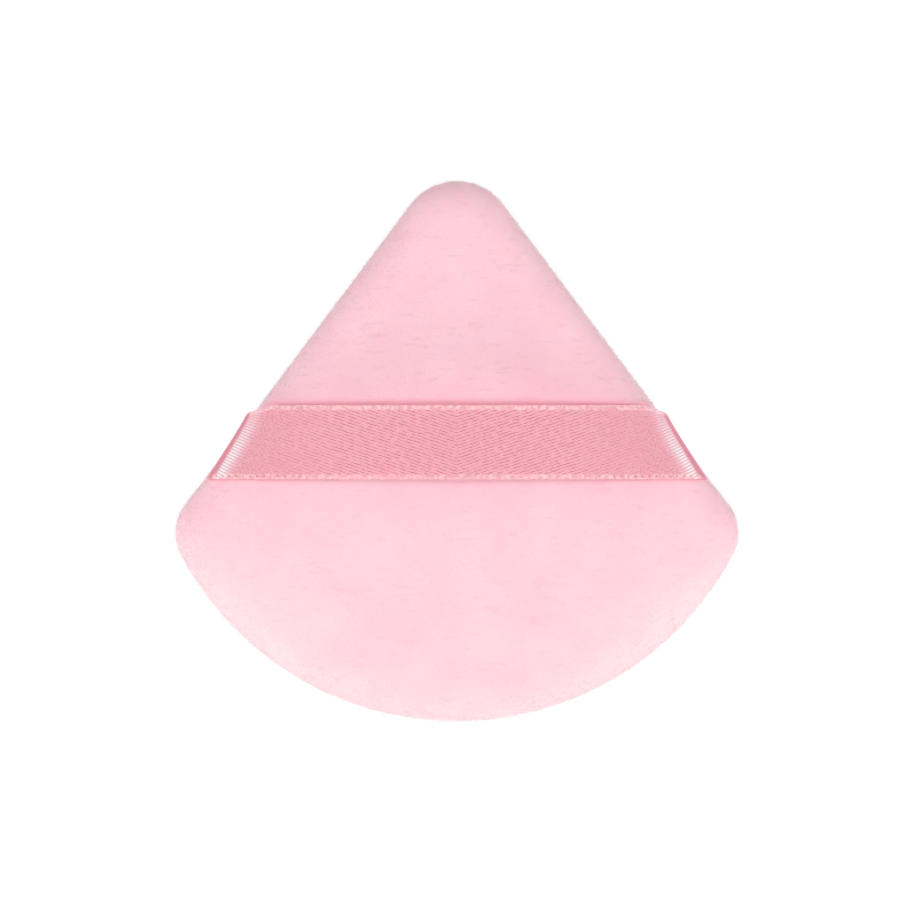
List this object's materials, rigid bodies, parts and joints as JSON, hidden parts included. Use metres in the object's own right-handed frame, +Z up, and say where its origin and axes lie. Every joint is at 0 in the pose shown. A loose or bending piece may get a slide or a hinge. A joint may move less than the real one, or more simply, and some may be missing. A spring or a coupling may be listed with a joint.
{
  "type": "powder puff",
  "caption": "Fan-shaped velour powder puff: a sponge-filled pad, sewn and turned, with a satin ribbon arched across its front as a finger band.",
  "frame": {"origin": "on the surface that the puff rests on, under the middle of its outline", "axes": "+X along the ribbon, +Y towards the tip of the fan, +Z up through the front face that carries the ribbon"},
  "size_m": [0.0842, 0.0807, 0.0158],
  "materials": {
    "velour": "matte short pile",
    "satin": "satin weave with ribs",
    "foam": "open-cell foam",
    "thread": "spun polyester"
  },
  "bodies": {
    "root": {"front_panel": "velour", "rear_panel": "velour", "finger_ribbon": "satin", "sponge_core": "foam", "seam_needle_thread": "thread", "seam_bobbin_thread": "thread", "closing_thread": "thread"}
  },
  "joints": []
}
